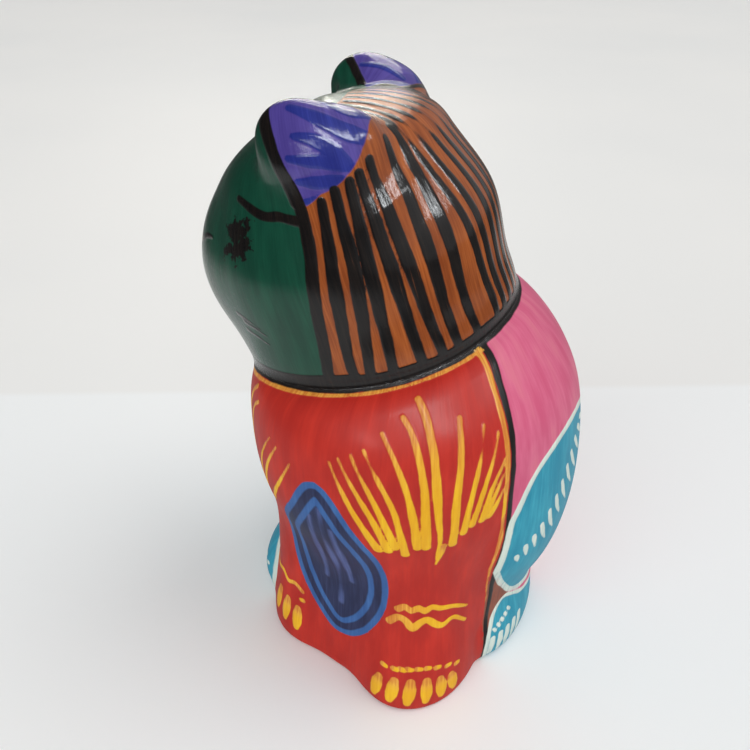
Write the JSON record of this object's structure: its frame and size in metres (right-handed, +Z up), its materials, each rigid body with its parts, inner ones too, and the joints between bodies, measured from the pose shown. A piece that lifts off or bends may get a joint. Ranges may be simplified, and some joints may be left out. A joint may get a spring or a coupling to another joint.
{
  "type": "alebrije figure",
  "caption": "Small painted clay cat that sits upright with its head turned to its right, hollow inside, on a flat foot ring.",
  "frame": {"origin": "middle of the flat foot, on the surface the figure stands on", "axes": "+Z up, -Y the way the body and forepaws face, +X the cat's left; the head is turned to its right and looks towards -X"},
  "size_m": [0.0703, 0.0673, 0.109],
  "materials": {
    "face_green": "dark green hand paint under clear varnish",
    "head_brown": "orange-brown hand paint with dark stripes under clear varnish",
    "ear_violet": "violet hand paint with navy strokes under clear varnish",
    "chest_red": "red hand paint with yellow strokes under clear varnish",
    "back_pink": "pink hand paint with visible brush marks under clear varnish",
    "haunch_turquoise": "turquoise hand paint with cream strokes under clear varnish",
    "bare_clay": "unpainted fired earthenware, matt"
  },
  "bodies": {
    "root": {"face_shell": "face_green", "head_rear_shell": "head_brown", "left_ear": "ear_violet", "right_ear": "ear_violet", "chest_shell": "chest_red", "back_shell": "back_pink", "left_foreleg": "chest_red", "right_foreleg": "chest_red", "left_forepaw": "chest_red", "right_forepaw": "chest_red", "left_haunch": "haunch_turquoise", "right_haunch": "haunch_turquoise", "left_hind_paw": "haunch_turquoise", "right_hind_paw": "haunch_turquoise", "tail": "back_pink", "floor_slab": "bare_clay", "neck_coil": "bare_clay"}
  },
  "joints": []
}
